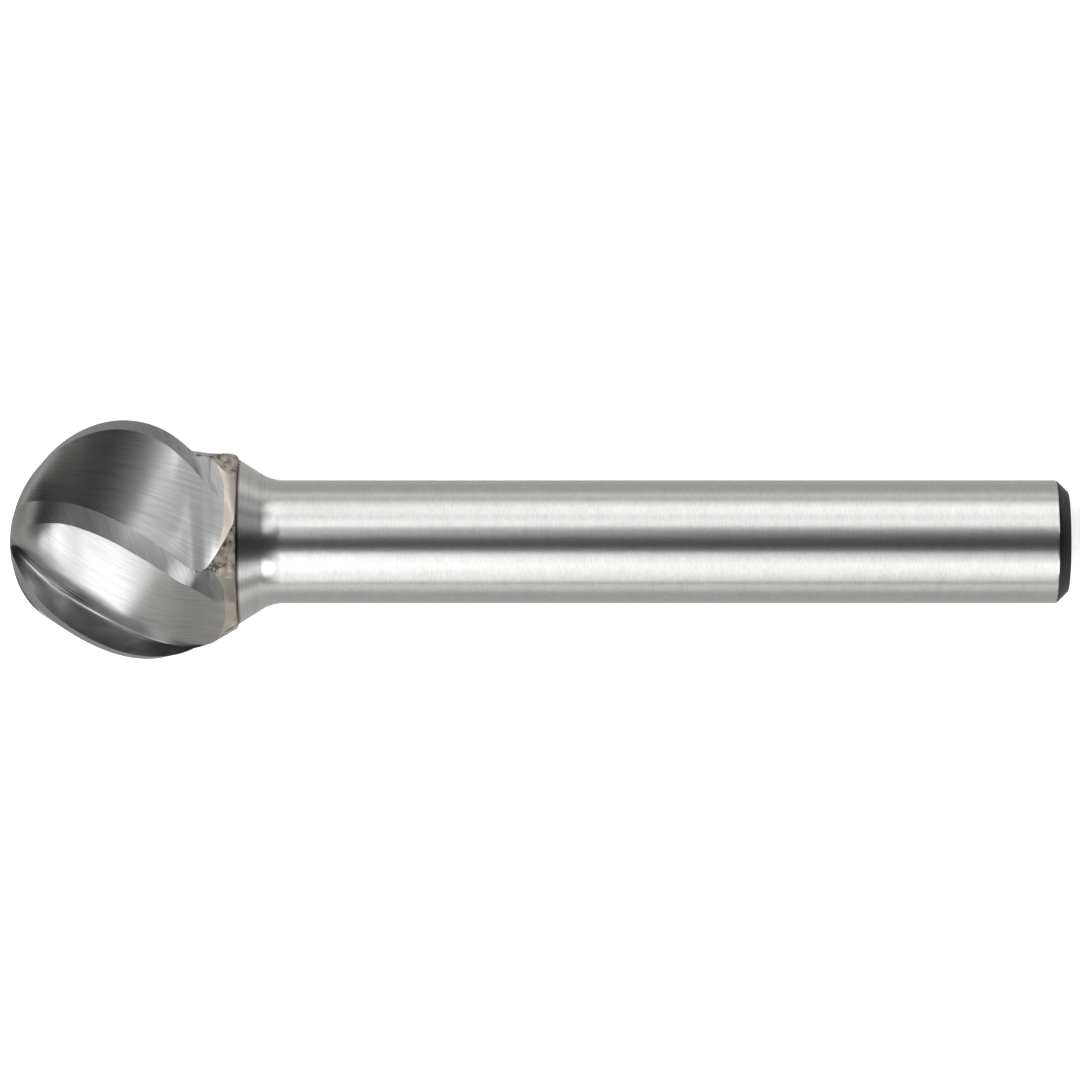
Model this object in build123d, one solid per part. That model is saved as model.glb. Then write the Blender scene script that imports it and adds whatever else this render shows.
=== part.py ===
from build123d import *
import os
from math import cos, radians, sin, sqrt, tan

# A ball-shaped carbide burr: a fluted carbide head brazed to a flared steel shank.
# Millimetres and degrees. The burr is first made along its own axis, X, from the ball's
# centre towards the shank, and is then laid down as it comes to rest on a flat surface.

# ---- head blank -------------------------------------------------------------------------
BALL_RADIUS = 6.0
SHOULDER_X = 2.98                       # where the ball meets the short shoulder behind it
CREASE_X, CREASE_RADIUS = 3.85, 4.95    # where the shoulder turns into the neck's cone
CARBIDE_CHAMFER_X = 4.18                # chamfer on the carbide's rear rim, filled with solder
CARBIDE_FACE_RADIUS = 4.30              # what the chamfer leaves of the rear face
BRAZE_X = 4.59                          # the carbide ends here and the solder begins
STEEL_X = 5.14                          # the solder ends here and the steel begins
NECK_END_RADIUS = 4.20                  # the cone's radius at the steel
BRAZE_ROUNDING = 0.18                   # the solder's edge beside the steel

# ---- shank ------------------------------------------------------------------------------
OVERALL_LENGTH = 51.6
SHANK_RADIUS = 3.0
STEEL_FACE_RADIUS = 4.03                # the steel stands a little inside the solder's rim
FLARE_SLOPE = 32.4                      # cone from there down to the cylinder
FLARE_BLEND = 1.4                       # hollow curve between the cone and the cylinder
END_CHAMFER = 0.58
END_ROUNDING = 0.25                     # where the chamfer meets the cylinder

# ---- teeth ------------------------------------------------------------------------------
TEETH = 5
PITCH = 360 / TEETH
ROOT_RUNOUT_RADIUS = 5.12               # a flute's root runs straight out at this radius
ROOT_ARC_RADIUS = 10.2                  # and dives towards the tip on this arc
ROOT_ARC_START_X = 2.6
ROOT_TIP_RADIUS = 0.45                  # core left at the tip
ROOT_FLAT = 0.12                        # left along the root by the grinding wheel's worn corner
CUTTER_RADIUS = 8.5                     # how far out the flute cutters reach
CUTTER_FRONT_LEAD = 11.0                # and how far round, in front of the edge
LAND_OVERRUN = 0.2                      # of the blank's radius, past the edge

# Stations of one flute along the axis: x, cutting edge, start of the relieved land, heel,
# drop of the heel below the blank, crown of the tooth's back. Angles grow in the order in
# which the teeth follow each other. Over the ball the land starts right behind the edge;
# past the shoulder the two part, and a piece of the blank's own skin stays between flutes.
FLUTE_STATIONS = [
    (-6.40, -62.0, -60.0, -22.0, 0.02, 0.02),
    (-5.85, -50.0, -48.5, -18.0, 0.06, 0.15),
    (-5.35, -40.0, -39.0, -15.3, 0.12, 0.32),
    (-4.70, -31.5, -30.8, -13.6, 0.17, 0.28),
    (-3.90, -25.6, -25.0, -12.0, 0.23, 0.14),
    (-3.00, -21.3, -20.8, -9.8, 0.27, 0.05),
    (-2.00, -17.0, -16.5, -5.9, 0.27, 0.03),
    (-1.00, -12.4, -11.9, -1.5, 0.23, 0.03),
    (0.00, -7.2, -6.7, 3.6, 0.19, 0.03),
    (1.00, -1.7, -1.2, 9.6, 0.16, 0.03),
    (1.80, 3.6, 4.1, 15.2, 0.15, 0.03),
    (2.50, 9.6, 10.1, 21.4, 0.15, 0.03),
    (3.05, 14.6, 15.1, 26.2, 0.18, 0.03),
    (3.50, 16.2, 15.2, 31.8, 0.35, 0.03),
    (3.95, 15.6, 16.8, 37.8, 0.39, 0.02),
    (4.40, 13.8, 21.5, 42.6, 0.30, 0.02),
    (4.90, 12.2, 24.4, 45.4, 0.12, 0.02),
    (5.50, 10.8, 25.0, 46.2, 0.03, 0.02),
]

# ---- how it lies ------------------------------------------------------------------------
REST_ROLL = 0.86                        # turned about its own axis until two teeth bear
REST_TILT = 2.974                       # ball higher than the shank's end


def blank_radius(x):
    """Radius of the turned blank at x, carried on past both of its ends for the cutters."""
    shoulder = sqrt(BALL_RADIUS**2 - SHOULDER_X**2)
    if x <= SHOULDER_X:
        return sqrt(max(BALL_RADIUS**2 - x**2, 0.8**2))
    if x <= CREASE_X:
        share = (x - SHOULDER_X) / (CREASE_X - SHOULDER_X)
        return shoulder + share * (CREASE_RADIUS - shoulder)
    share = min((x - CREASE_X) / (STEEL_X - CREASE_X), 1)
    return CREASE_RADIUS + share * (NECK_END_RADIUS - CREASE_RADIUS)


def root_radius(x):
    """Distance of a flute's root from the axis."""
    back = max(ROOT_ARC_START_X - x, 0)
    dive = ROOT_ARC_RADIUS - sqrt(ROOT_ARC_RADIUS**2 - back**2)
    return max(ROOT_RUNOUT_RADIUS - dive, ROOT_TIP_RADIUS)


def at(x, radius, angle):
    """A point by its place along the axis, its radius and its angle from +Z over to -Y."""
    return Vector(x, -radius * sin(radians(angle)), radius * cos(radians(angle)))


def flute_section(x, edge, land_start, heel, drop, crown):
    """The open space behind one cutting edge and in front of the next, across the axis at x."""
    next_edge = edge + PITCH
    root = at(x, root_radius(x), next_edge)
    heel_point = at(x, blank_radius(x) - drop, heel)
    land_point = at(x, blank_radius(x), land_start)
    along_land = (land_point - heel_point).normalized()
    land_end = land_point + along_land * (LAND_OVERRUN * blank_radius(x))
    outside_front = at(x, CUTTER_RADIUS, edge - CUTTER_FRONT_LEAD)
    outside_back = at(x, CUTTER_RADIUS, next_edge)
    rake_end = root + (outside_back - root).normalized() * ROOT_FLAT
    back_start = root + (heel_point - root).normalized() * ROOT_FLAT
    back_middle = (back_start + heel_point) / 2
    outward = Vector(0, back_middle.Y, back_middle.Z).normalized()
    return Wire(
        [
            Edge.make_line(outside_back, rake_end),
            Edge.make_line(rake_end, back_start),
            Edge.make_three_point_arc(back_start, back_middle + outward * crown, heel_point),
            Edge.make_line(heel_point, land_end),
            Edge.make_line(land_end, outside_front),
            Edge.make_line(outside_front, outside_back),
        ]
    )


def flute_cutters():
    """One cutter for each flute: a loft through the stations, turned to each tooth."""
    flute = Solid.make_loft([flute_section(*station) for station in FLUTE_STATIONS])
    return [Rot(PITCH * tooth, 0, 0) * flute for tooth in range(TEETH)]


def turned(outline):
    """Turns a half section, drawn in X and radius, about the axis."""
    return revolve(Plane.XZ * outline, Axis.X)


def rounded_at(face, x, radius_there, rounding):
    """Rounds the corner of a half section that lies nearest to a point."""
    corner = face.vertices().sort_by_distance((x, radius_there, 0))[0]
    return fillet(corner, rounding)


def head_blank():
    middle = BALL_RADIUS / sqrt(2)
    shoulder = (SHOULDER_X, blank_radius(SHOULDER_X))
    ball = ThreePointArc((-BALL_RADIUS, 0), (-middle, middle), shoulder)
    behind = Polyline(
        shoulder,
        (CREASE_X, CREASE_RADIUS),
        (CARBIDE_CHAMFER_X, blank_radius(CARBIDE_CHAMFER_X)),
        (BRAZE_X, CARBIDE_FACE_RADIUS),
        (BRAZE_X, 0),
        (-BALL_RADIUS, 0),
    )
    return turned(make_face([ball, behind]))


def braze_blank():
    outline = Polyline(
        (BRAZE_X, 0),
        (BRAZE_X, CARBIDE_FACE_RADIUS),
        (CARBIDE_CHAMFER_X, blank_radius(CARBIDE_CHAMFER_X)),
        (STEEL_X, NECK_END_RADIUS),
        (STEEL_X, 0),
        close=True,
    )
    face = make_face(outline)
    return turned(rounded_at(face, STEEL_X, NECK_END_RADIUS, BRAZE_ROUNDING))


def shank():
    end = OVERALL_LENGTH - BALL_RADIUS
    flare_length = (STEEL_FACE_RADIUS - SHANK_RADIUS) / tan(radians(FLARE_SLOPE))
    outline = Polyline(
        (STEEL_X, 0),
        (STEEL_X, STEEL_FACE_RADIUS),
        (STEEL_X + flare_length, SHANK_RADIUS),
        (end - END_CHAMFER, SHANK_RADIUS),
        (end, SHANK_RADIUS - END_CHAMFER),
        (end, 0),
        close=True,
    )
    face = rounded_at(make_face(outline), STEEL_X + flare_length, SHANK_RADIUS, FLARE_BLEND)
    return turned(rounded_at(face, end - END_CHAMFER, SHANK_RADIUS, END_ROUNDING))


def fluted(blank):
    """Takes every flute out of a blank, one after another."""
    for cutter in flute_cutters():
        blank -= cutter
    return blank


def laid_down(pieces):
    """Turns the pieces to the pose in which the burr rests, on Z = 0 and centred over it."""
    turned_over = Rot(0, REST_TILT, 0) * Rot(REST_ROLL, 0, 0)
    placed = {name: turned_over * piece for name, piece in pieces.items()}
    boxes = [piece.bounding_box() for piece in placed.values()]
    left = min(box.min.X for box in boxes)
    right = max(box.max.X for box in boxes)
    front = min(box.min.Y for box in boxes)
    back = max(box.max.Y for box in boxes)
    lowest = min(box.min.Z for box in boxes)
    home = Pos(-(left + right) / 2, -(front + back) / 2, -lowest)
    return {name: home * piece for name, piece in placed.items()}


pieces = {
    "cutting_head": fluted(head_blank()),
    "braze_joint": fluted(braze_blank()),
    "steel_shank": shank(),
}

os.makedirs("parts", exist_ok=True)
for name, piece in laid_down(pieces).items():
    export_step(piece, f"parts/{name}.step")
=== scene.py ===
from collections import namedtuple
from math import acos, atan2, cos, degrees, pi, radians, sin, sqrt, tan

import bmesh
import bpy
from mathutils import Matrix, Vector


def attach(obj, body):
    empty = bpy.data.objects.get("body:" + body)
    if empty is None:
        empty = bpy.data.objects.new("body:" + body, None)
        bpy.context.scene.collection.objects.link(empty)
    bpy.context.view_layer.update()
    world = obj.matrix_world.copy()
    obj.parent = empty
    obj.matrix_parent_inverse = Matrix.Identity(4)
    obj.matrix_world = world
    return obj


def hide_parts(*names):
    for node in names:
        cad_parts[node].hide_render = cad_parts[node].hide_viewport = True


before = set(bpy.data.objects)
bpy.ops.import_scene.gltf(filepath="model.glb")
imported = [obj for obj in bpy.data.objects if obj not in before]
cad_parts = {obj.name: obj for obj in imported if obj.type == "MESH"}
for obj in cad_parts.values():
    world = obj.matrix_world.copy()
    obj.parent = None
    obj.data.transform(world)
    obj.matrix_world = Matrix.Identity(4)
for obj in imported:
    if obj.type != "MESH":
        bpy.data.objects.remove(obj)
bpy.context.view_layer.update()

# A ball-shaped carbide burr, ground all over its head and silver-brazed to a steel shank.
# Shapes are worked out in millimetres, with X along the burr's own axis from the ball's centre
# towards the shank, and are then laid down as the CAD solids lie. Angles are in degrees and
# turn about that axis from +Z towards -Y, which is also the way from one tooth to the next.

# ---- sizes, in millimetres ---------------------------------------------------------------
BALL_RADIUS = 6.0
SHOULDER_X = 2.98               # the ball ends here and the neck begins
CREASE_X, CREASE_RADIUS = 3.85, 4.95
CARBIDE_CHAMFER_X = 4.18        # the carbide's rear rim is chamfered from here
CARBIDE_FACE_RADIUS = 4.30
BRAZE_X = 4.59
STEEL_X = 5.14
NECK_END_RADIUS = 4.20
BRAZE_ROUNDING = 0.18
ROUNDING_DEPTH = 0.8            # that rounding's depth, as a share of a quarter circle's
SHANK_RADIUS = 3.0
STEEL_FACE_RADIUS = 4.03
FLARE_SLOPE = 32.4
FLARE_BLEND = 1.8               # radius that carries the flare into the cylinder
SHANK_END_X = 45.6
END_CHAMFER = 0.58
END_ROUNDING = 0.25

TEETH = 5
PITCH = 360 / TEETH
ROOT_RUNOUT_RADIUS = 5.12
ROOT_ARC_RADIUS = 10.2
ROOT_ARC_START_X = 2.6
ROOT_TIP_RADIUS = 0.45
ROOT_FILLET = 0.11
FILLET_SHARE = 0.45             # and no more than this share of a shallow flute's depth
UNDERCUT = 1.5                  # how far a root lies behind its edge where a tooth runs out
UNDERCUT_START_X, UNDERCUT_RUN = -0.5, 2.5
GROUND_STRIP = 0.6              # a strip of skin this narrow behind an edge is ground away
STRIP_DIP = 0.012               # how far that strip dips, as a share of the way to the heel
BALL_START_X = -5.85            # ahead of it the lands leave the ball and close at the tip
LEAST_STATION_RADIUS = 0.8
WIDEST_SKIN = 25.0              # how far past its heel a tooth's skin may reach
SKIN_SHARE = 0.3                # the skin's part of a tooth whose heel has run out
RUNOUT_MARGIN = 0.004           # a root this close under the blank's surface has run out
UNGROUND_MARGIN = 0.003         # and a face this close to it was never ground

# the flutes, by their angles, their drops and the crown of the back, at stations along X
Station = namedtuple("Station", "x edge land heel heel_drop back_crown")
FLUTE_STATIONS = [
    Station(-6.40, -62.0, -60.0, -22.0, 0.02, 0.02),
    Station(-5.85, -50.0, -48.5, -18.0, 0.06, 0.15),
    Station(-5.35, -40.0, -39.0, -15.3, 0.12, 0.32),
    Station(-4.70, -31.5, -30.8, -13.6, 0.17, 0.28),
    Station(-3.90, -25.6, -25.0, -12.0, 0.23, 0.14),
    Station(-3.00, -21.3, -20.8, -9.8, 0.27, 0.05),
    Station(-2.00, -17.0, -16.5, -5.9, 0.27, 0.03),
    Station(-1.00, -12.4, -11.9, -1.5, 0.23, 0.03),
    Station(0.00, -7.2, -6.7, 3.6, 0.19, 0.03),
    Station(1.00, -1.7, -1.2, 9.6, 0.16, 0.03),
    Station(1.80, 3.6, 4.1, 15.2, 0.15, 0.03),
    Station(2.50, 9.6, 10.1, 21.4, 0.15, 0.03),
    Station(3.05, 14.6, 15.1, 26.2, 0.18, 0.03),
    Station(3.50, 16.2, 15.2, 31.8, 0.35, 0.03),
    Station(3.95, 15.6, 16.8, 37.8, 0.39, 0.02),
    Station(4.40, 13.8, 21.5, 42.6, 0.30, 0.02),
    Station(4.90, 12.2, 24.4, 45.4, 0.12, 0.02),
    Station(5.50, 10.8, 25.0, 46.2, 0.03, 0.02),
]

# how the burr lies, as the CAD solids do: on its ball and on the end of its shank
BALL_CENTRE = (-19.8321, -0.0960, 5.3267)
AXIS_DROP = 2.974
TOOTH_TURN = 0.86
LAID = (
    Matrix.Scale(0.001, 4)
    @ Matrix.Translation(BALL_CENTRE)
    @ Matrix.Rotation(radians(AXIS_DROP), 4, "Y")
    @ Matrix.Rotation(radians(TOOTH_TURN), 4, "X")
)

# ---- how finely the meshes are made --------------------------------------------------------
# columns of faces across one tooth: its skin behind the edge, the land, the back, the root
# fillet and the cutting face of the next tooth
SKIN, LAND, BACK, FILLET, RAKE = range(5)
COLUMNS = {SKIN: 4, LAND: 8, BACK: 30, FILLET: 5, RAKE: 7}
KINDS = [kind for kind, count in COLUMNS.items() for _ in range(count)]
ACROSS = len(KINDS)
HEEL_COLUMN = COLUMNS[SKIN] + COLUMNS[LAND]
ROOT_COLUMN = HEEL_COLUMN + COLUMNS[BACK]
FIRST_RING = 0.7                # the ring nearest the tip, in degrees round the ball
BALL_RINGS, NECK_RINGS, BRAZE_RINGS = 158, 34, 16
SHANK_STEPS = 180
HEAD_CREASE, SHANK_CREASE = 13.0, 25.0
TRIES = 40                      # steps in looking for a place on a curve
LAND_SEARCH = 1.5               # how far past a land's start its edge is looked for
WELD = 0.0001
ON_AXIS = 0.01

# the finishes of a ground piece, in the order of its materials
GROUND, RELIEVED, SINTERED = range(3)


# ---- the shape of the head ---------------------------------------------------------------
def held(value):
    """A value held between 0 and 1."""
    return min(max(value, 0.0), 1.0)


def along(column, x):
    """A column of the stations' table at x, on a smooth curve through the stations."""
    xs = [station.x for station in FLUTE_STATIONS]
    values = [column(station) for station in FLUTE_STATIONS]
    last = len(xs) - 1
    here = max(i for i in range(last) if xs[i] <= x)

    def slope(i):
        low, high = max(i - 1, 0), min(i + 1, last)
        return (values[high] - values[low]) / (xs[high] - xs[low])

    step = xs[here + 1] - xs[here]
    t = (x - xs[here]) / step
    return (
        values[here] * (1 + 2 * t) * (1 - t) ** 2
        + slope(here) * step * t * (1 - t) ** 2
        + values[here + 1] * t**2 * (3 - 2 * t)
        + slope(here + 1) * step * t**2 * (t - 1)
    )


def cone_radius(x):
    """Radius of the neck's rear cone, which the solder carries on."""
    share = (x - CREASE_X) / (STEEL_X - CREASE_X)
    return CREASE_RADIUS + share * (NECK_END_RADIUS - CREASE_RADIUS)


def turned_radius(x):
    """Radius of the turned blank, solder included."""
    if x <= SHOULDER_X:
        return sqrt(max(BALL_RADIUS**2 - x**2, 0))
    if x <= CREASE_X:
        shoulder = sqrt(BALL_RADIUS**2 - SHOULDER_X**2)
        share = (x - SHOULDER_X) / (CREASE_X - SHOULDER_X)
        return shoulder + share * (CREASE_RADIUS - shoulder)
    into = max(x - (STEEL_X - BRAZE_ROUNDING), 0)
    sunk = BRAZE_ROUNDING - sqrt(max(BRAZE_ROUNDING**2 - into**2, 0))
    return cone_radius(x) - sunk * ROUNDING_DEPTH


def station_radius(x):
    """The blank's radius as the stations use it: its ends are carried on past the solid."""
    if x <= CREASE_X:
        return max(turned_radius(x), LEAST_STATION_RADIUS)
    return cone_radius(x)


def root_radius(x):
    """Radius of a flute's root, which rises along an arc from the tip and then runs level."""
    before = max(ROOT_ARC_START_X - x, 0)
    dive = ROOT_ARC_RADIUS - sqrt(ROOT_ARC_RADIUS**2 - before**2)
    return max(ROOT_RUNOUT_RADIUS - dive, ROOT_TIP_RADIUS)


def polar(radius, angle):
    """A point of a section, as a 2-D vector whose first axis is at angle 0."""
    return Vector((radius * cos(radians(angle)), radius * sin(radians(angle))))


def angle_of(point):
    return degrees(atan2(point.y, point.x))


def arc(radius, start, end, count):
    return [polar(radius, start + (end - start) * i / count) for i in range(count + 1)]


def crossing(curve, inside, outside, radius):
    """Where a curve leaves a circle, between a parameter inside it and one outside."""
    for _ in range(TRIES):
        middle = (inside + outside) / 2
        if curve(middle).length < radius:
            inside = middle
        else:
            outside = middle
    return inside


def tooth_section(x):
    """One tooth's outline across the axis at x: a list of points for each of its surfaces,
    and whether the flute's root has run out there."""
    blank = turned_radius(x)
    edge = along(lambda station: station.edge, x)
    heel_angle = along(lambda station: station.heel, x)
    if BALL_START_X < x < SHOULDER_X:
        heel_radius = blank - along(lambda station: station.heel_drop, x)
        land_radius = blank
    else:
        heel_radius = along(lambda station: station_radius(station.x) - station.heel_drop, x)
        land_radius = along(lambda station: station_radius(station.x), x)
    heel = polar(heel_radius, heel_angle)
    land = polar(land_radius, along(lambda station: station.land, x))
    behind = UNDERCUT * held((x - UNDERCUT_START_X) / UNDERCUT_RUN)
    root = polar(root_radius(x), edge + PITCH + behind)
    bulge = ((heel + root) / 2).normalized() * along(lambda station: station.back_crown, x)

    def back(t):
        return heel.lerp(root, t) + bulge * (4 * t * (1 - t))

    def across_land(t):
        return heel.lerp(land, t)

    closest = min((i / TRIES for i in range(TRIES + 1)), key=lambda t: back(t).length)

    def out_of_blank(toward):
        """Where the back leaves the blank on the way from its closest point."""
        if back(closest).length < blank:
            return crossing(back, closest, toward, blank)
        return closest

    # the skin and the land, from the edge to the heel
    back_start = 0.0
    if heel.length > blank:
        back_start = out_of_blank(0.0)
        heel_side = min(angle_of(back(back_start)), heel_angle + WIDEST_SKIN)
        skin_end = edge + (heel_side - edge) * SKIN_SHARE
        skin = arc(blank, edge, skin_end, COLUMNS[SKIN])
        land_points = arc(blank, skin_end, heel_side, COLUMNS[LAND])
    else:
        land_side = angle_of(across_land(crossing(across_land, 0.0, LAND_SEARCH, blank)))
        skin_end = max(land_side - GROUND_STRIP, edge)
        dip = (heel - polar(blank, edge)) * STRIP_DIP
        skin = [
            point + dip * i / COLUMNS[SKIN]
            for i, point in enumerate(arc(blank, edge, skin_end, COLUMNS[SKIN]))
        ]
        land_points = [skin[-1].lerp(heel, i / COLUMNS[LAND]) for i in range(COLUMNS[LAND] + 1)]

    # the root fillet and the next tooth's cutting face
    runs_out = root.length >= blank - RUNOUT_MARGIN
    if runs_out:
        back_end = out_of_blank(1.0)
        rest = arc(blank, angle_of(back(back_end)), edge + PITCH, COLUMNS[FILLET] + COLUMNS[RAKE])
        fillet, rake = rest[: COLUMNS[FILLET] + 1], rest[COLUMNS[FILLET] :]
    else:
        height = blank - root.length
        reach = min(ROOT_FILLET, FILLET_SHARE * height)
        back_end = 1 - reach / (heel - root).length
        top = polar(blank, edge + PITCH)
        up_the_rake = root.lerp(top, reach / height)
        fillet = []
        for i in range(COLUMNS[FILLET] + 1):
            t = i / COLUMNS[FILLET]
            fillet.append(back(back_end).lerp(root, t).lerp(root.lerp(up_the_rake, t), t))
        rake = [up_the_rake.lerp(top, i / COLUMNS[RAKE]) for i in range(COLUMNS[RAKE] + 1)]

    back_points = [
        back(back_start + (back_end - back_start) * i / COLUMNS[BACK])
        for i in range(COLUMNS[BACK] + 1)
    ]
    for point in land_points + back_points:
        if point.length > blank:
            point *= blank / point.length
    return [skin, land_points, back_points, fillet, rake], runs_out


def in_space(x, point):
    """A section's point, at x: angle 0 is +Z and 90 is -Y."""
    return Vector((x, -point.y, point.x))


def head_stations():
    """Where the head's rings lie: evenly round the ball, then along the neck."""
    ball_end = 180 - degrees(acos(SHOULDER_X / BALL_RADIUS))
    ball_angles = [
        FIRST_RING + (ball_end - FIRST_RING) * i / BALL_RINGS for i in range(BALL_RINGS + 1)
    ]
    ball = [-BALL_RADIUS * cos(radians(angle)) for angle in ball_angles]
    neck_step = BRAZE_X - SHOULDER_X
    neck = [SHOULDER_X + neck_step * i / NECK_RINGS for i in range(1, NECK_RINGS + 1)]
    return ball + neck


def braze_stations():
    return [BRAZE_X + (STEEL_X - BRAZE_X) * i / BRAZE_RINGS for i in range(BRAZE_RINGS + 1)]


# ---- grinding marks ----------------------------------------------------------------------
MARK_SLANT = 20.0               # the marks cross a tooth's back at this angle to the axis
BACK_FACES = 49.0               # the way a back faces, from its own edge's angle 0
LAND_SLANT = 17.0               # the marks on a land lean this far from going straight round
ROOT_BAND = 5                   # the last columns of a back, where marks follow the root
ROOT_LENGTH = 1.15              # a root is this much longer than its reach along the axis
ROOT_SHADE_REACH = 0.75             # how far from a root its crease is darkened with painted shade, drawn as streaks
ROOT_SHADE_FADE = 0.2
ROOT_SHADE_END_X, ROOT_SHADE_RUN = -1.5, 1.0
DEEP_IN_SOLDER = 0.2


def marks_on_back(place):
    """Place along and across the wheel's marks on a back or a cutting face."""
    tangent = Vector((0, -cos(radians(BACK_FACES)), -sin(radians(BACK_FACES))))
    slant = radians(MARK_SLANT)
    with_mark = Vector((cos(slant), 0, 0)) + tangent * sin(slant)
    across_mark = Vector((-sin(slant), 0, 0)) + tangent * cos(slant)
    return place.dot(with_mark), place.dot(across_mark)


def marks_on_land(place):
    """Place along and across the marks on a land, which run round the ball."""
    round_it = atan2(-place.y, place.z) * BALL_RADIUS
    slant = radians(LAND_SLANT)
    return (
        place.x * sin(slant) + round_it * cos(slant),
        place.x * cos(slant) - round_it * sin(slant),
    )


def carbide_limit(x):
    """Radius out to which the head is carbide: solder fills the chamfer on its rear rim."""
    rim = turned_radius(CARBIDE_CHAMFER_X)
    fall = (rim - CARBIDE_FACE_RADIUS) / (BRAZE_X - CARBIDE_CHAMFER_X)
    return rim - fall * (x - CARBIDE_CHAMFER_X)


def finish_of(kind, x, runs_out, on_blank):
    """Which finish a face has, by its surface, its place and whether it lies on the blank."""
    if x > CREASE_X and (kind == SKIN or on_blank):
        return SINTERED
    if kind in (SKIN, LAND):
        return RELIEVED
    if kind in (FILLET, RAKE) and runs_out:
        return SINTERED if x > 0 else RELIEVED
    return GROUND


def fluted_skin(name, stations, finishes):
    """The ground head, or a slice of it, from a warped grid for one tooth, spun to five."""
    rings = len(stations) - 1
    sections = [tooth_section(x) for x in stations]
    outlines = []
    for surfaces, _ in sections:
        outline = [surfaces[SKIN][0]]
        for surface in surfaces:
            outline += surface[1:]
        outlines.append(outline)

    bm = bmesh.new()
    bmesh.ops.create_grid(bm, x_segments=ACROSS, y_segments=rings, size=0.5)
    uv = bm.loops.layers.uv.new("grinding")
    in_solder = bm.verts.layers.float.new("in_solder")
    root_shade = bm.verts.layers.float.new("root_shade")

    def grid_place(vert):
        """The column and the ring of a corner of the flat grid."""
        return round((vert.co.x + 0.5) * ACROSS), round((vert.co.y + 0.5) * rings)

    cells = {vert: grid_place(vert) for vert in bm.verts}
    places = {
        vert: in_space(stations[ring], outlines[ring][column])
        for vert, (column, ring) in cells.items()
    }

    def from_root(vert):
        ring = cells[vert][1]
        root_place = in_space(stations[ring], outlines[ring][ROOT_COLUMN + COLUMNS[FILLET]])
        return (places[vert] - root_place).length

    for face in bm.faces:
        middle = face.calc_center_median()
        column, ring = int((middle.x + 0.5) * ACROSS), int((middle.y + 0.5) * rings)
        corners = [places[vert] for vert in face.verts]
        on_blank = all(
            corner.yz.length > turned_radius(corner.x) - UNGROUND_MARGIN for corner in corners
        )
        runs_out = sections[ring][1]
        face.material_index = finish_of(KINDS[column], stations[ring], runs_out, on_blank)
        by_root = ROOT_COLUMN - ROOT_BAND <= column < ROOT_COLUMN + COLUMNS[FILLET]
        for loop in face.loops:
            place = places[loop.vert]
            if face.material_index == RELIEVED:
                loop[uv].uv = marks_on_land(place)
            elif by_root and not runs_out:
                loop[uv].uv = (place.x * ROOT_LENGTH, from_root(loop.vert))
            else:
                loop[uv].uv = marks_on_back(place)

    all_solder = stations[0] >= BRAZE_X
    for vert, place in places.items():
        beyond_carbide = place.yz.length - carbide_limit(place.x)
        vert[in_solder] = DEEP_IN_SOLDER if all_solder else beyond_carbide
        # painted shade: a back is marked darker near its root towards the tip, in the flute's
        # crease
        if HEEL_COLUMN < cells[vert][0] < ROOT_COLUMN:
            nearness = held((ROOT_SHADE_REACH - from_root(vert)) / ROOT_SHADE_FADE)
            vert[root_shade] = nearness * held((ROOT_SHADE_END_X - place.x) / ROOT_SHADE_RUN)
        vert.co = place
    bmesh.ops.spin(
        bm,
        geom=bm.verts[:] + bm.edges[:] + bm.faces[:],
        cent=(0, 0, 0),
        axis=(1, 0, 0),
        angle=radians(PITCH * (TEETH - 1)),
        steps=TEETH - 1,
        use_duplicate=True,
    )
    bmesh.ops.remove_doubles(bm, verts=bm.verts, dist=WELD)
    rims = [edge for edge in bm.edges if edge.is_boundary]
    bmesh.ops.holes_fill(bm, edges=rims, sides=0)
    return finished(name, bm, finishes, HEAD_CREASE)


def finished(name, bm, finishes, crease):
    """Lays a closed mesh down, creases its sharp edges and makes an object of it."""
    bmesh.ops.transform(bm, matrix=LAID, verts=bm.verts)
    bmesh.ops.recalc_face_normals(bm, faces=bm.faces)
    for face in bm.faces:
        face.smooth = True
    for edge in bm.edges:
        edge.smooth = edge.calc_face_angle(0) < radians(crease)
    mesh = bpy.data.meshes.new(name)
    bm.to_mesh(mesh)
    bm.free()
    for finish in finishes:
        mesh.materials.append(finish)
    piece = bpy.data.objects.new(name, mesh)
    bpy.context.scene.collection.objects.link(piece)
    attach(piece, "root")
    return piece


# ---- the shape of the shank --------------------------------------------------------------
CHAMFER_ANGLE = 45.0
SHADED_END_START = 0.02          # how far before the end's chamfer the steel painted dark with shade starts
NEAR_CORNER = 0.001


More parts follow.
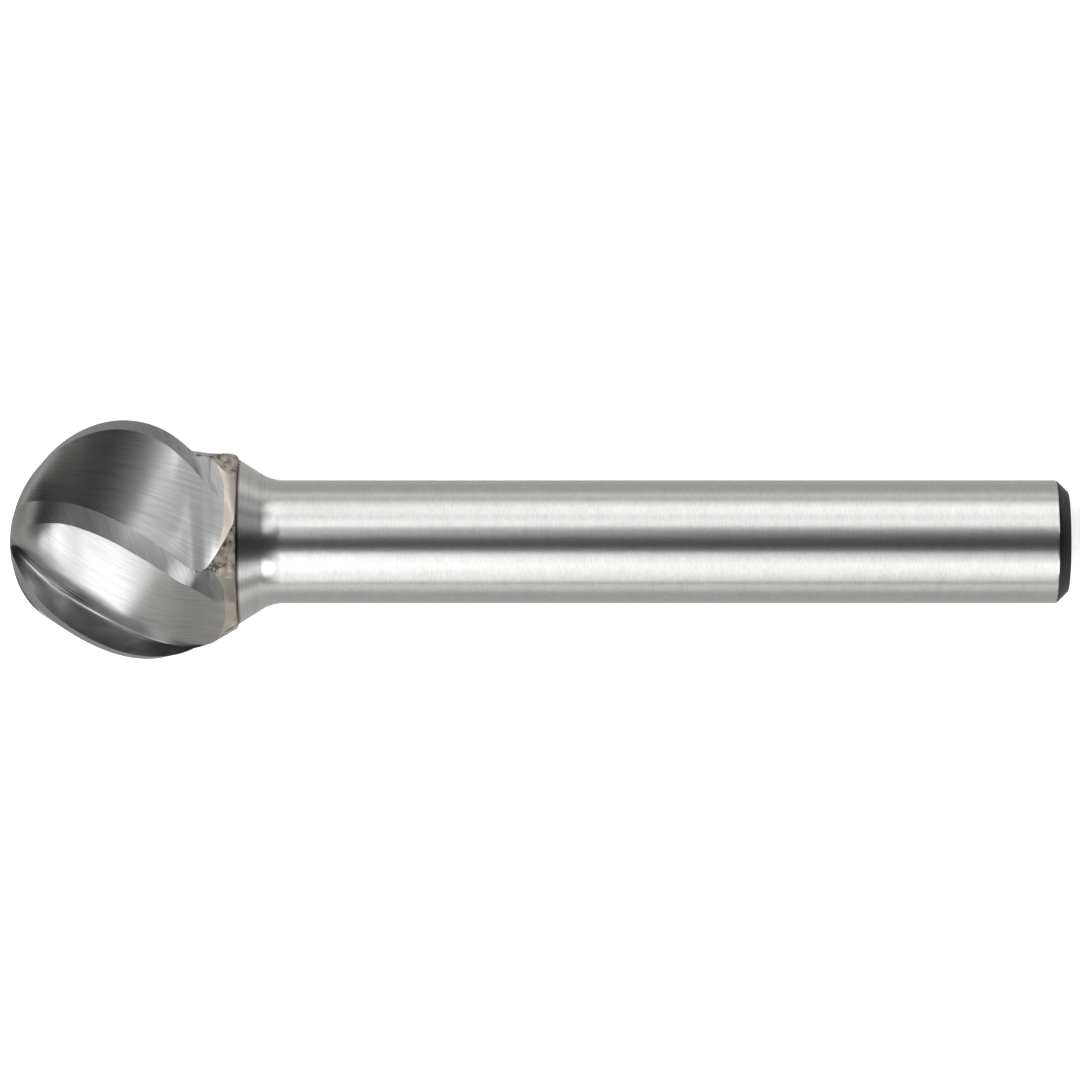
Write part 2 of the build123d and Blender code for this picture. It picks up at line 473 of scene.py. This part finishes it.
def spun_shank(name, finishes):
    """The shank: a few corners spun about the axis, and the rounded ones bevelled."""
    slope = radians(FLARE_SLOPE)
    half_chamfer = radians(CHAMFER_ANGLE / 2)
    flare_end = STEEL_X + (STEEL_FACE_RADIUS - SHANK_RADIUS) / tan(slope)
    bend = SHANK_END_X - END_CHAMFER
    corners = [
        (STEEL_X, 0),
        (STEEL_X, STEEL_FACE_RADIUS),
        (flare_end, SHANK_RADIUS),
        (bend, SHANK_RADIUS),
        (SHANK_END_X, SHANK_RADIUS - END_CHAMFER),
        (SHANK_END_X, 0),
    ]
    roundings = [
        (flare_end, FLARE_BLEND * tan(slope / 2), 14),
        (bend, END_ROUNDING * tan(half_chamfer), 5),
        (SHANK_END_X, END_ROUNDING * tan(half_chamfer) / 2, 3),
    ]
    bm = bmesh.new()
    verts = [bm.verts.new((x, 0, radius)) for x, radius in corners]
    edges = [bm.edges.new(pair) for pair in zip(verts, verts[1:])]
    bmesh.ops.spin(
        bm,
        geom=verts + edges,
        cent=(0, 0, 0),
        axis=(1, 0, 0),
        angle=2 * pi,
        steps=SHANK_STEPS,
        use_merge=True,
    )
    bmesh.ops.remove_doubles(bm, verts=bm.verts, dist=WELD)
    for x, offset, segments in roundings:
        ring = [
            edge
            for edge in bm.edges
            if all(abs(v.co.x - x) < NEAR_CORNER and v.co.yz.length > ON_AXIS for v in edge.verts)
        ]
        bmesh.ops.bevel(
            bm,
            geom=ring,
            offset=offset,
            offset_type="OFFSET",
            segments=segments,
            profile=0.5,
            affect="EDGES",
            material=-1,
        )
    uv = bm.loops.layers.uv.new("grinding")
    for face in bm.faces:
        middle = face.calc_center_median()
        # painted shade: the end and its chamfer take the steel painted nearly black
        face.material_index = 1 if middle.x > bend - SHADED_END_START else 0
        facing = atan2(-middle.y, middle.z)
        for loop in face.loops:
            place = loop.vert.co
            turn = atan2(-place.y, place.z) if place.yz.length > ON_AXIS else facing
            turn += 2 * pi * round((facing - turn) / (2 * pi))
            loop[uv].uv = (place.x - place.yz.length, turn * SHANK_RADIUS)
    return finished(name, bm, finishes, SHANK_CREASE)


# ---- materials ---------------------------------------------------------------------------
def colour(code):
    """A linear colour from an sRGB hex code."""
    parts = [int(code[i : i + 2], 16) / 255 for i in (1, 3, 5)]
    linear = [c / 12.92 if c <= 0.04045 else ((c + 0.055) / 1.055) ** 2.4 for c in parts]
    return (*linear, 1.0)


def add(tree, kind, settings=(), links=(), stops=(), **attributes):
    """Adds a node, with its attributes, its sockets' values, the links into it and, on a
    colour ramp, its stops: a position and an sRGB hex code for each."""
    node = tree.nodes.new(kind)
    for name, value in attributes.items():
        setattr(node, name, value)
    for socket, value in dict(settings).items():
        node.inputs[socket].default_value = value
    for socket, source in dict(links).items():
        tree.links.new(source, node.inputs[socket])
    if stops:
        while len(node.color_ramp.elements) < len(stops):
            node.color_ramp.elements.new(0.5)
        for element, (position, code) in zip(node.color_ramp.elements, stops):
            element.position = position
            element.color = colour(code)
    return node


def new_finish(name, **sockets):
    """A material; returns it, its node tree and its shader with these sockets set."""
    material = bpy.data.materials.new(name)
    material.use_nodes = True
    tree = material.node_tree
    shader = tree.nodes["Principled BSDF"]
    for socket, value in sockets.items():
        shader.inputs[socket.replace("_", " ")].default_value = value
    return material, tree, shader


def streaks(tree, marks, sizes):
    """Noises drawn out along a piece's grinding marks, from (length, width) in millimetres."""
    noises = []
    for length, width in sizes:
        scaled = add(
            tree,
            "ShaderNodeMapping",
            {"Scale": (1 / length, 1 / width, 1)},
            {"Vector": marks.outputs["UV"]},
        )
        noise = add(
            tree,
            "ShaderNodeTexNoise",
            {"Scale": 1.0, "Detail": 2.0, "Roughness": 0.6},
            {"Vector": scaled.outputs["Vector"]},
            noise_dimensions="2D",
        )
        noises.append(noise.outputs["Fac"])
    return noises


def ground_carbide(name, dark, light, roughness):
    """Tungsten carbide cut by a diamond wheel, and the silver solder cut with it. Fine marks
    run side by side and spread reflections across themselves, a few of them deeper. Near the
    tip the crease along a root is darkened with painted shade, drawn as streaks along the marks.
    The solder in the chamfer of the rear rim is softer, paler and slightly warm."""
    material, tree, shader = new_finish(
        name, Metallic=1.0, Roughness=roughness, Anisotropic=0.5, Anisotropic_Rotation=0.25
    )
    # grit of 0.05 mm leaves marks about 0.02 mm wide: these are drawn coarser, so that they show
    marks = add(tree, "ShaderNodeUVMap", uv_map="grinding")
    fine, coarse, broad = streaks(tree, marks, ((1.8, 0.05), (3.0, 0.11), (3.5, 0.9)))
    depth_mm = 0.0006
    tangent = add(tree, "ShaderNodeTangent", direction_type="UV_MAP", uv_map="grinding")
    marked = add(tree, "ShaderNodeMix", {"Factor": 0.4}, {"A": fine, "B": coarse})
    heights = marked.outputs["Result"]
    carbide = add(
        tree,
        "ShaderNodeValToRGB",
        links={"Fac": heights},
        stops=((0.32, dark), (0.68, light)),
    )
    solder = add(
        tree,
        "ShaderNodeValToRGB",
        links={"Fac": broad},
        stops=((0.3, "#b6afa4"), (0.7, "#c5bfb6")),
    )
    # the carbide's rim wanders by 0.03 mm to each side, and is 0.024 mm soft
    beyond = add(tree, "ShaderNodeAttribute", attribute_name="in_solder")
    wander = add(
        tree,
        "ShaderNodeMath",
        {1: 0.06, 2: -0.03},
        {0: broad},
        operation="MULTIPLY_ADD",
    )
    inside = add(
        tree,
        "ShaderNodeMath",
        links={0: beyond.outputs["Fac"], 1: wander.outputs["Value"]},
        operation="ADD",
    )
    share = add(
        tree,
        "ShaderNodeMapRange",
        {"From Min": -0.012, "From Max": 0.012},
        {"Value": inside.outputs["Value"]},
    )
    tint = add(
        tree,
        "ShaderNodeMix",
        links={
            "Factor": share.outputs["Result"],
            "A": carbide.outputs["Color"],
            "B": solder.outputs["Color"],
        },
        data_type="RGBA",
    )
    # painted shade: darker streaks in the crease along a flute's root near the tip
    corner = add(tree, "ShaderNodeAttribute", attribute_name="root_shade")
    root_shade_streaks = add(
        tree,
        "ShaderNodeValToRGB",
        links={"Fac": coarse},
        stops=((0.44, "#ffffff"), (0.58, "#7c7a78")),
    )
    root_shaded = add(
        tree,
        "ShaderNodeMix",
        links={
            "Factor": corner.outputs["Fac"],
            "A": tint.outputs[2],
            "B": root_shade_streaks.outputs["Color"],
        },
        data_type="RGBA",
        blend_type="MULTIPLY",
    )
    bump = add(
        tree,
        "ShaderNodeBump",
        {"Strength": 1.0, "Distance": depth_mm / 1000},
        {"Height": heights},
    )
    tree.links.new(root_shaded.outputs[2], shader.inputs["Base Color"])
    tree.links.new(bump.outputs["Normal"], shader.inputs["Normal"])
    tree.links.new(tangent.outputs["Tangent"], shader.inputs["Tangent"])
    return material


def furnace_skin():
    """The blank's outside as brazing left it: dark sintered carbide, then run silver solder
    over the chamfer, mottled by flux and pitted, so it is dull and only partly bare metal."""
    material, tree, shader = new_finish(
        "sintered_carbide_and_run_solder", Metallic=0.7, Roughness=0.48
    )
    # flux grains 0.35 mm across, blots of 0.8 mm and specks of 0.16 mm, which are pits
    place = add(tree, "ShaderNodeTexCoord")
    grains, blots, specks = (
        add(
            tree,
            "ShaderNodeTexNoise",
            {"Scale": 1000 / size_mm, "Detail": detail, "Roughness": 0.62},
            {"Vector": place.outputs["Object"]},
        ).outputs["Fac"]
        for size_mm, detail in ((0.35, 4.0), (0.8, 3.0), (0.16, 2.0))
    )
    pit_depth_mm = 0.02
    carbide = add(
        tree,
        "ShaderNodeValToRGB",
        links={"Fac": specks},
        stops=((0.36, "#444341"), (0.52, "#6f6e6b"), (0.66, "#b8b7b1")),
    )
    solder = add(
        tree,
        "ShaderNodeValToRGB",
        links={"Fac": grains},
        stops=((0.33, "#5a5148"), (0.42, "#938b80"), (0.55, "#b1aa9e"), (0.7, "#cac4b8")),
    )
    glints = add(
        tree,
        "ShaderNodeValToRGB",
        links={"Fac": specks},
        stops=((0.34, "#8d8d8d"), (0.5, "#ffffff")),
    )
    # the solder's edge on the carbide is ragged, by up to about 0.4 mm either way
    beyond = add(tree, "ShaderNodeAttribute", attribute_name="in_solder")
    wander = add(
        tree,
        "ShaderNodeMath",
        {1: 1.3, 2: -0.7},
        {0: blots},
        operation="MULTIPLY_ADD",
    )
    inside = add(
        tree,
        "ShaderNodeMath",
        links={0: beyond.outputs["Fac"], 1: wander.outputs["Value"]},
        operation="ADD",
    )
    share = add(
        tree,
        "ShaderNodeMapRange",
        {"From Min": -0.02, "From Max": 0.02},
        {"Value": inside.outputs["Value"]},
    )
    tint = add(
        tree,
        "ShaderNodeMix",
        links={
            "Factor": share.outputs["Result"],
            "A": carbide.outputs["Color"],
            "B": solder.outputs["Color"],
        },
        data_type="RGBA",
    )
    speckled = add(
        tree,
        "ShaderNodeMix",
        {"Factor": 0.25},
        {"A": tint.outputs[2], "B": glints.outputs["Color"]},
        data_type="RGBA",
        blend_type="MULTIPLY",
    )
    bump = add(
        tree,
        "ShaderNodeBump",
        {"Strength": 0.8, "Distance": pit_depth_mm / 1000},
        {"Height": grains},
    )
    tree.links.new(speckled.outputs[2], shader.inputs["Base Color"])
    tree.links.new(bump.outputs["Normal"], shader.inputs["Normal"])
    return material


# places on the shank's grinding map, whose first axis is x less the radius
DARK_SEAM_FADE = (1.22, 1.38)
FLARE_END_FADE = (3.35, 3.55)


def ground_steel():
    """Hardened steel ground between centres. Short marks run round it and spread reflections
    along it; the flare was only turned, and shows longer rings. The steel is coloured darker
    in a narrow band just past the solder."""
    material, tree, shader = new_finish(
        "cylindrically_ground_steel",
        Metallic=1.0,
        Roughness=0.3,
        Anisotropic=0.65,
        Anisotropic_Rotation=0.0,
    )
    # grit of 0.2 mm leaves marks about 0.03 mm wide: these are drawn 0.08 mm wide, and the
    # flare's rings 0.12 mm apart, so that they show
    marks = add(tree, "ShaderNodeUVMap", uv_map="grinding")
    short, cloudy, rings = streaks(tree, marks, ((0.08, 0.35), (0.5, 1.2), (0.12, 9.0)))
    depth_mm = 0.004
    tangent = add(tree, "ShaderNodeTangent", direction_type="UV_MAP", uv_map="grinding")
    lengthwise = add(tree, "ShaderNodeSeparateXYZ", links={"Vector": marks.outputs["UV"]})
    flared = add(
        tree,
        "ShaderNodeMapRange",
        {"From Min": FLARE_END_FADE[1], "From Max": FLARE_END_FADE[0]},
        {"Value": lengthwise.outputs["X"]},
    )
    ground = add(tree, "ShaderNodeMix", {"Factor": 0.35}, {"A": short, "B": cloudy})
    surface = add(
        tree,
        "ShaderNodeMix",
        links={"Factor": flared.outputs["Result"], "A": ground.outputs["Result"], "B": rings},
    )
    heights = surface.outputs["Result"]
    steel = add(
        tree,
        "ShaderNodeValToRGB",
        links={"Fac": heights},
        stops=((0.3, "#cacac9"), (0.7, "#dadad9")),
    )
    # the steel is coloured darker in a narrow band where it meets the solder
    past_dark_seam = add(
        tree,
        "ShaderNodeMapRange",
        {"From Min": DARK_SEAM_FADE[0], "From Max": DARK_SEAM_FADE[1]},
        {"Value": lengthwise.outputs["X"]},
    )
    tint = add(
        tree,
        "ShaderNodeMix",
        {"A": colour("#5a534b")},
        {"Factor": past_dark_seam.outputs["Result"], "B": steel.outputs["Color"]},
        data_type="RGBA",
    )
    bump = add(
        tree,
        "ShaderNodeBump",
        {"Strength": 1.0, "Distance": depth_mm / 1000},
        {"Height": heights},
    )
    tree.links.new(tint.outputs[2], shader.inputs["Base Color"])
    tree.links.new(bump.outputs["Normal"], shader.inputs["Normal"])
    tree.links.new(tangent.outputs["Tangent"], shader.inputs["Tangent"])
    return material


def painted_dark_steel_end():
    """The shank's end as the lathe left it, ringed and dull, with its colour made nearly black as
    painted shade, standing in for the dark that its chamfer mirrors."""
    material, tree, shader = new_finish("turned_steel_painted_dark", Metallic=1.0, Roughness=0.42)
    rings_per_mm = 12
    ring_share_per_mm = 0.15
    depth_mm = 0.003
    marks = add(tree, "ShaderNodeUVMap", uv_map="grinding")
    scaled = add(
        tree,
        "ShaderNodeMapping",
        {"Scale": (rings_per_mm, ring_share_per_mm, 1)},
        {"Vector": marks.outputs["UV"]},
    )
    rings = add(
        tree,
        "ShaderNodeTexNoise",
        {"Scale": 1.0, "Detail": 2.0},
        {"Vector": scaled.outputs["Vector"]},
        noise_dimensions="2D",
    )
    # painted shade: the end's colour is nearly black in place of the dark it mirrors
    skin = add(
        tree,
        "ShaderNodeValToRGB",
        links={"Fac": rings.outputs["Fac"]},
        stops=((0.3, "#373635"), (0.7, "#525150")),
    )
    bump = add(
        tree,
        "ShaderNodeBump",
        {"Strength": 1.0, "Distance": depth_mm / 1000},
        {"Height": rings.outputs["Fac"]},
    )
    tree.links.new(skin.outputs["Color"], shader.inputs["Base Color"])
    tree.links.new(bump.outputs["Normal"], shader.inputs["Normal"])
    return material


# ---- put together ------------------------------------------------------------------------
head_finishes = [
    ground_carbide("wheel_ground_carbide", "#989898", "#afafaf", 0.28),
    ground_carbide("relief_ground_carbide", "#8c8c8c", "#a2a2a2", 0.3),
    furnace_skin(),
]

head = fluted_skin("ground_head", head_stations(), head_finishes)
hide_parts("cutting_head")

braze = fluted_skin("ground_braze", braze_stations(), head_finishes)
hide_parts("braze_joint")

shank = spun_shank("ground_shank", [ground_steel(), painted_dark_steel_end()])
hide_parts("steel_shank")

# ---- floor, light and camera, in metres --------------------------------------------------
FLOOR_HALF_WIDTH = 4
WALL_HEIGHT = 3
FLOOR_GLOW = 0.32
PANEL_REACH = 0.45
WORLD_STRENGTH = 1.1
END_RISE = 0.3

bm = bmesh.new()
bmesh.ops.create_grid(bm, x_segments=1, y_segments=1, size=FLOOR_HALF_WIDTH)
walls = bmesh.ops.extrude_edge_only(bm, edges=bm.edges)
for corner in walls["geom"]:
    if isinstance(corner, bmesh.types.BMVert):
        corner.co.z = WALL_HEIGHT
floor_mesh = bpy.data.meshes.new("floor")
bm.to_mesh(floor_mesh)
bm.free()
floor = bpy.data.objects.new("floor", floor_mesh)
bpy.context.scene.collection.objects.link(floor)
floor.visible_glossy = False
floor_paint, _, _ = new_finish(
    "pale_floor",
    Roughness=0.9,
    Base_Color=colour("#f8f8f8"),
    Emission_Color=colour("#ffffff"),
    Emission_Strength=FLOOR_GLOW,
)
floor_mesh.materials.append(floor_paint)


def softbox(name, along_burr, swing, width, height, power):
    """A soft panel by its place along the burr, its swing from overhead towards -Y in degrees,
    its size and its watts. It hangs at a fixed reach and faces the burr's axis."""
    lamp = bpy.data.lights.new(name, "AREA")
    lamp.shape = "RECTANGLE"
    lamp.size, lamp.size_y = width, height
    lamp.energy = power
    light = bpy.data.objects.new(name, lamp)
    turn = radians(swing)
    light.location = (along_burr, -PANEL_REACH * sin(turn), PANEL_REACH * cos(turn))
    light.rotation_euler = (turn, 0, 0)
    light.visible_camera = False
    bpy.context.scene.collection.objects.link(light)


softbox("tip_overhead_panel", -0.325, -24, 0.45, 0.26, 1.6)
softbox("tip_side_panel", -0.325, 40, 0.45, 0.32, 2.2)
softbox("tip_low_panel", -0.36, 76, 0.45, 0.16, 1.45)
softbox("far_side_panel", 0.08, -55, 0.34, 0.48, 0.62)
softbox("far_side_core", 0.07, -62, 0.32, 0.18, 0.07)
softbox("near_side_panel", 0.05, 51, 0.30, 0.52, 0.52)
softbox("shank_overhead_panel", 0.375, -34, 0.35, 0.24, 0.38)
softbox("shank_far_panel", 0.375, -70, 0.35, 0.16, 0.15)
softbox("shank_near_panel", 0.375, 56, 0.35, 0.24, 0.8)

# a dim room above and a pale table below, which the metal mirrors in place of the floor; the
# table reaches up to the horizon at the burr's sides and stays lower off its two ends
world = bpy.data.worlds.new("studio")
bpy.context.scene.world = world
world.use_nodes = True
room = world.node_tree
sky = add(room, "ShaderNodeTexCoord")
way = add(room, "ShaderNodeSeparateXYZ", links={"Vector": sky.outputs["Generated"]})
endwise = add(
    room,
    "ShaderNodeMath",
    links={0: way.outputs["X"], 1: way.outputs["X"]},
    operation="MULTIPLY",
)
height = add(
    room,
    "ShaderNodeMath",
    {1: END_RISE},
    {0: endwise.outputs["Value"], 2: way.outputs["Z"]},
    operation="MULTIPLY_ADD",
)
level = add(
    room,
    "ShaderNodeMapRange",
    {"From Min": -1.0, "From Max": 1.0},
    {"Value": height.outputs["Value"]},
)
haze = add(
    room,
    "ShaderNodeValToRGB",
    links={"Fac": level.outputs["Result"]},
    stops=((0.34, "#b3b2b0"), (0.42, "#e3e2e0"), (0.51, "#e3e2e0"), (0.55, "#141414")),
)
background = room.nodes["Background"]
room.links.new(haze.outputs["Color"], background.inputs["Color"])
background.inputs["Strength"].default_value = WORLD_STRENGTH

# The camera looks square onto the burr's axis from above, with a long lens. Its sides are
# the burr's axis and the direction across it, and its place is in the burr's millimetres.
CAMERA_DISTANCE = 350.0
CAMERA_AIM = (19.844, 0.088)
PIXELS_PER_MM = 20.5            # at the burr's axis, in a frame 1080 pixels wide
FRAME_WIDTH = 1080
SENSOR_WIDTH = 36.0

camera_data = bpy.data.cameras.new("camera")
camera_data.sensor_width = SENSOR_WIDTH
camera_data.lens = SENSOR_WIDTH * PIXELS_PER_MM * CAMERA_DISTANCE / FRAME_WIDTH
camera_data.clip_start, camera_data.clip_end = 0.01, 10
camera = bpy.data.objects.new("camera", camera_data)
bpy.context.scene.collection.objects.link(camera)
bpy.context.scene.camera = camera
camera_place = LAID @ Vector((*CAMERA_AIM, CAMERA_DISTANCE))
camera_turn = LAID.to_3x3().normalized().to_4x4()
camera.matrix_world = Matrix.Translation(camera_place) @ camera_turn

bpy.context.scene.view_settings.view_transform = "Standard"
